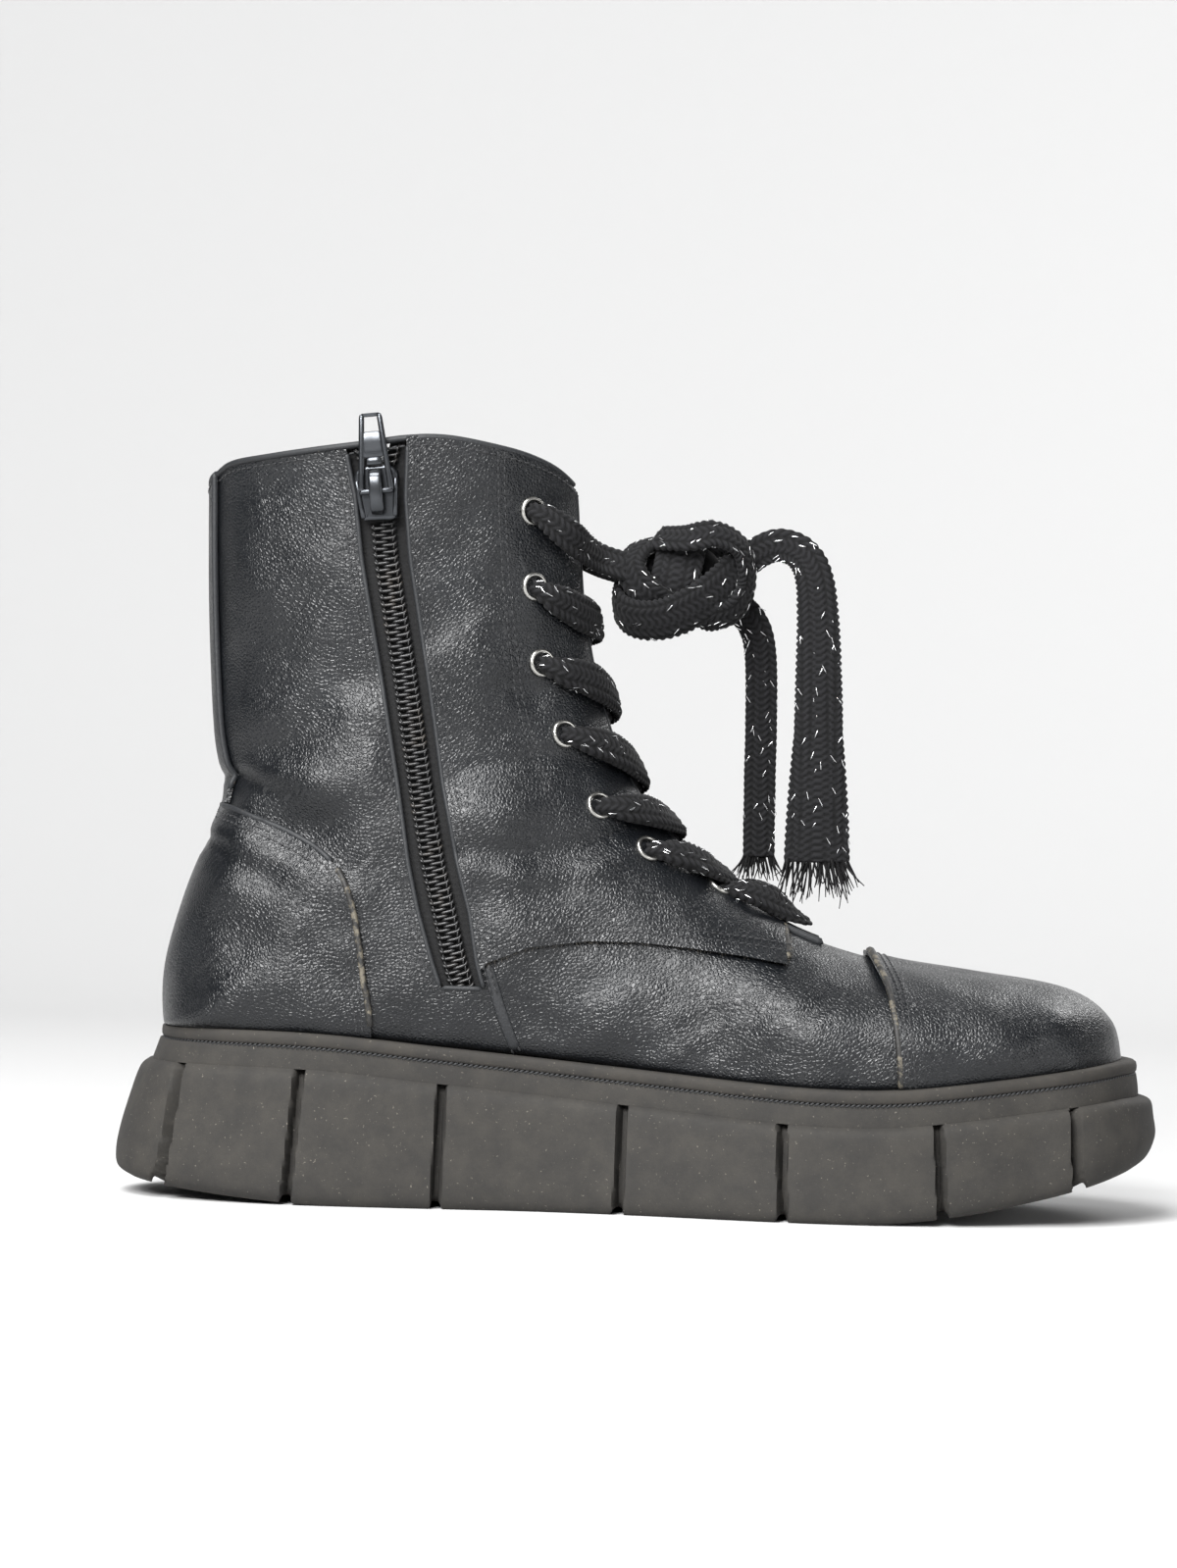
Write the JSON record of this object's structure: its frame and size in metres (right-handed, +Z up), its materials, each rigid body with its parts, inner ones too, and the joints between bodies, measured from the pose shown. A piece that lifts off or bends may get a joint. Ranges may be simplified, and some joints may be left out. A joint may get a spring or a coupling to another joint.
{
  "type": "combat boot",
  "caption": "Ankle-high lace-up combat boot for the left foot, with a thick lugged sole, toe cap, metal eyelets, a side zip and a long knotted lace.",
  "frame": {"origin": "on the floor under the middle of the sole's length and width", "axes": "+X to the toe, +Y to the outer side of the foot, +Z up"},
  "size_m": [0.2624, 0.1, 0.1957],
  "materials": {
    "upper_leather": "satin, pebbled navy-black synthetic leather",
    "sole_rubber": "matte moulded rubber with dust",
    "lining_textile": "matte black textile",
    "zip_textile": "woven tape and nylon coil",
    "zip_metal": "gunmetal plating, glossy",
    "eyelet_metal": "nickel plating, worn",
    "lace_braid": "flat black braid with silver flecks"
  },
  "bodies": {
    "boot": {"outsole": "sole_rubber", "midsole": "sole_rubber", "welt": "sole_rubber", "insole": "lining_textile", "upper": "upper_leather", "toe_cap": "upper_leather", "heel_counter": "upper_leather", "back_strip": "upper_leather", "facing_inner": "upper_leather", "facing_outer": "upper_leather", "tongue": "lining_textile", "zip_coil": "zip_textile", "zip_tape": "zip_textile", "zip_slider": "zip_metal", "eyelet_inner_1": "eyelet_metal", "eyelet_outer_1": "eyelet_metal", "eyelet_inner_2": "eyelet_metal", "eyelet_outer_2": "eyelet_metal", "eyelet_inner_3": "eyelet_metal", "eyelet_outer_3": "eyelet_metal", "eyelet_inner_4": "eyelet_metal", "eyelet_outer_4": "eyelet_metal", "eyelet_inner_5": "eyelet_metal", "eyelet_outer_5": "eyelet_metal", "eyelet_inner_6": "eyelet_metal", "eyelet_outer_6": "eyelet_metal", "eyelet_inner_7": "eyelet_metal", "eyelet_outer_7": "eyelet_metal", "lace_cross_2": "lace_braid", "lace_cross_3": "lace_braid", "lace_cross_4": "lace_braid", "lace_cross_5": "lace_braid", "lace_cross_6": "lace_braid", "lace_bar": "lace_braid", "lace_top": "lace_braid", "lace_knot": "lace_braid", "lace_end_a": "lace_braid", "lace_end_b": "lace_braid"},
    "pull": {"zip_pull": "zip_metal"}
  },
  "joints": [
    {"name": "pull_swing", "type": "hinge", "parent": "boot", "child": "pull", "pos_m": [-0.06793, -0.03378, 0.17629], "axis": [0.9908, -0.0779, 0.1103], "range_deg": [0, 160]}
  ]
}
